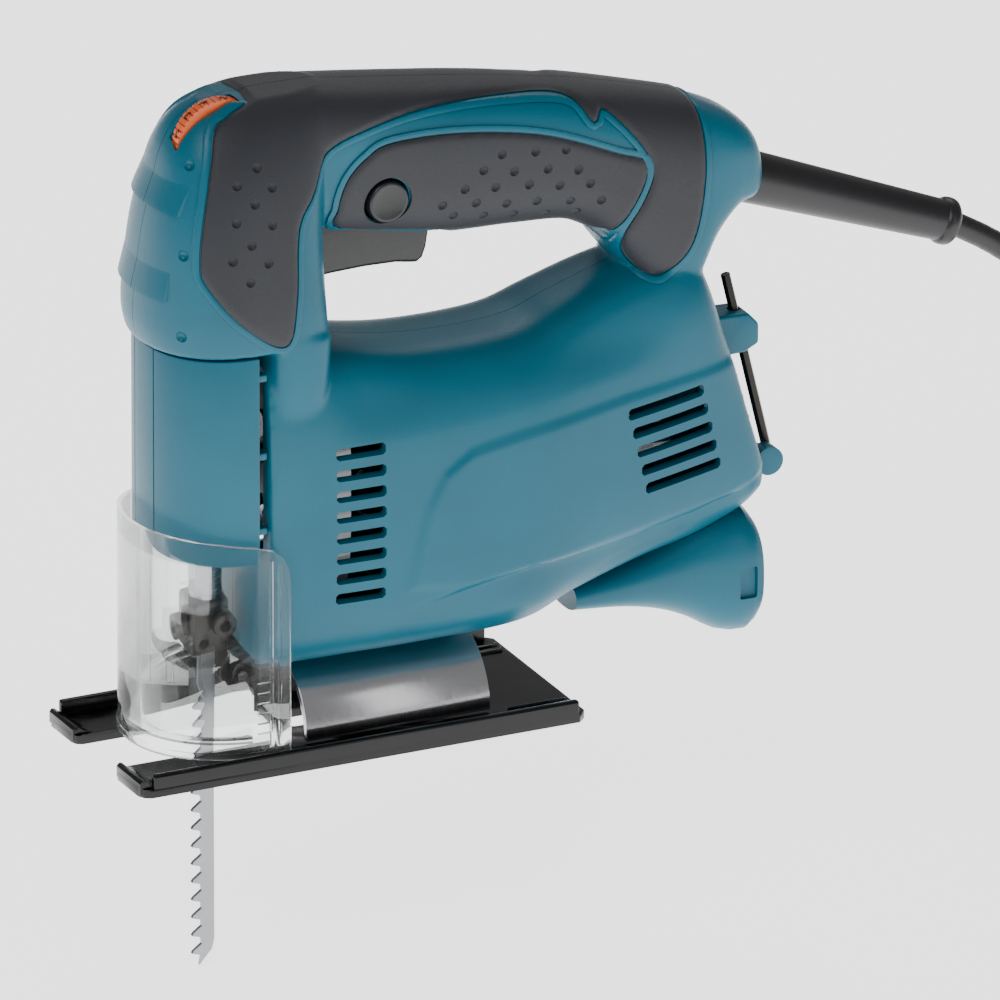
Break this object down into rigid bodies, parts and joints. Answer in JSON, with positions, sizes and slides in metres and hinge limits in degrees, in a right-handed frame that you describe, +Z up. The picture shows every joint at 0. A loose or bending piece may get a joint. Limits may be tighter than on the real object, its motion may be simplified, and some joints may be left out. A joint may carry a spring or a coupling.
{
  "type": "jigsaw power tool",
  "caption": "Corded top-handle jigsaw with a two-part moulded housing, soft grips, speed dial, clear chip cover, tilting pressed steel sole and a clamped blade.",
  "frame": {"origin": "underside of the sole, on the tool's centre line, 60 mm behind the blade", "axes": "-X the way the blade cuts, -Y the tool's left side, +Z up"},
  "size_m": [0.4141, 0.105, 0.2642],
  "materials": {
    "teal_plastic": "satin moulded nylon",
    "soft_rubber": "matt soft overmould",
    "black_rubber": "matt black rubber",
    "black_plastic": "matt black plastic",
    "orange_plastic": "satin orange plastic",
    "clear_plastic": "clear polycarbonate",
    "black_enamel": "gloss black enamel on steel",
    "bright_steel": "ground bright steel",
    "dark_steel": "dark oiled steel",
    "cast_aluminium": "die-cast aluminium",
    "laminated_steel": "stacked electrical steel",
    "copper": "enamelled copper wire",
    "brass": "brass",
    "sintered_bronze": "oil-filled sintered bronze",
    "carbon": "pressed carbon",
    "circuit_board": "potted circuit board"
  },
  "bodies": {
    "housing": {"housing_left": "teal_plastic", "housing_right": "teal_plastic", "front_cover": "teal_plastic", "dust_nozzle": "teal_plastic", "key_sleeve": "teal_plastic", "key_rest": "teal_plastic", "grip_left": "soft_rubber", "grip_right": "soft_rubber", "handle_pad_left": "soft_rubber", "handle_pad_right": "soft_rubber", "switch_body": "black_plastic", "speed_board": "circuit_board", "suppressor": "black_plastic", "cord_clamp": "black_plastic", "cord_guard": "black_rubber", "power_cord": "black_rubber", "cord_coil": "black_rubber", "cord_tail": "black_rubber", "plug": "black_rubber", "plug_pin_1": "brass", "plug_pin_2": "brass", "stator_core": "laminated_steel", "field_coil_top": "copper", "field_coil_bottom": "copper", "fan_baffle": "black_plastic", "front_bearing": "bright_steel", "rear_bearing": "bright_steel", "brush_holder_left": "brass", "brush_holder_right": "brass", "carbon_brush_left": "carbon", "carbon_brush_right": "carbon", "gear_case": "cast_aluminium", "gear_axle": "bright_steel", "lower_bush": "sintered_bronze", "upper_bush": "sintered_bronze", "roller_pin": "bright_steel", "roller_bracket": "dark_steel", "sole_bolt": "dark_steel"},
    "armature": {"armature_shaft": "bright_steel", "armature_core": "laminated_steel", "commutator": "copper", "cooling_fan": "black_plastic"},
    "gear": {"drive_gear": "dark_steel", "crank_pin": "bright_steel"},
    "plunger": {"plunger": "bright_steel", "blade_holder": "dark_steel", "clamp_bolt_side": "dark_steel", "clamp_bolt_front": "dark_steel", "blade": "bright_steel"},
    "roller": {"blade_roller": "dark_steel"},
    "cover": {"chip_cover": "clear_plastic"},
    "shoe": {"clamp_shoe": "dark_steel"},
    "sole": {"sole_plate": "black_enamel", "tilt_saddle": "bright_steel"},
    "trigger": {"trigger": "black_plastic"},
    "lock": {"lock_button": "black_plastic"},
    "dial": {"speed_dial": "orange_plastic"},
    "key": {"hex_key": "black_enamel"}
  },
  "joints": [
    {"name": "armature_spin", "type": "hinge", "parent": "housing", "child": "armature", "pos_m": [0, 0, 0.066], "axis": [1, 0, 0], "continuous": true},
    {"name": "gear_spin", "type": "hinge", "parent": "housing", "child": "gear", "pos_m": [0, 0, 0.0935], "axis": [1, 0, 0], "continuous": true},
    {"name": "plunger_stroke", "type": "slide", "parent": "housing", "child": "plunger", "axis": [0, 0, 1], "range_m": [0, 0.018]},
    {"name": "roller_spin", "type": "hinge", "parent": "housing", "child": "roller", "pos_m": [-0.051, 0, 0.017], "axis": [0, 1, 0], "continuous": true},
    {"name": "cover_lift", "type": "slide", "parent": "housing", "child": "cover", "axis": [0, 0, 1], "range_m": [0, 0.04]},
    {"name": "sole_slide", "type": "slide", "parent": "housing", "child": "shoe", "axis": [1, 0, 0], "range_m": [0, 0.015]},
    {"name": "sole_tilt", "type": "hinge", "parent": "shoe", "child": "sole", "pos_m": [0, 0, 0.003], "axis": [1, 0, 0], "range_deg": [0, 45]},
    {"name": "trigger_press", "type": "hinge", "parent": "housing", "child": "trigger", "pos_m": [-0.0265, 0, 0.1515], "axis": [0, -1, 0], "range_deg": [0, 8], "stiffness_Nm_per_rad": 0.4, "springref_deg": -6.88},
    {"name": "lock_press", "type": "slide", "parent": "housing", "child": "lock", "axis": [0, 1, 0], "range_m": [0, 0.003], "stiffness_N_per_m": 350, "springref_m": -0.003},
    {"name": "dial_turn", "type": "hinge", "parent": "housing", "child": "dial", "pos_m": [-0.0575, -0.007, 0.182], "axis": [0, 1, 0], "range_deg": [0, 150]},
    {"name": "key_slide", "type": "slide", "parent": "housing", "child": "key", "axis": [0.2321, 0, -0.9727], "range_m": [0, 0.06]}
  ],
  "couplings": [
    {"joint": "gear_spin", "follows": "armature_spin", "ratio": -0.22222},
    {"joint": "cover_lift", "follows": "sole_tilt", "m_per_rad": 0.05}
  ]
}
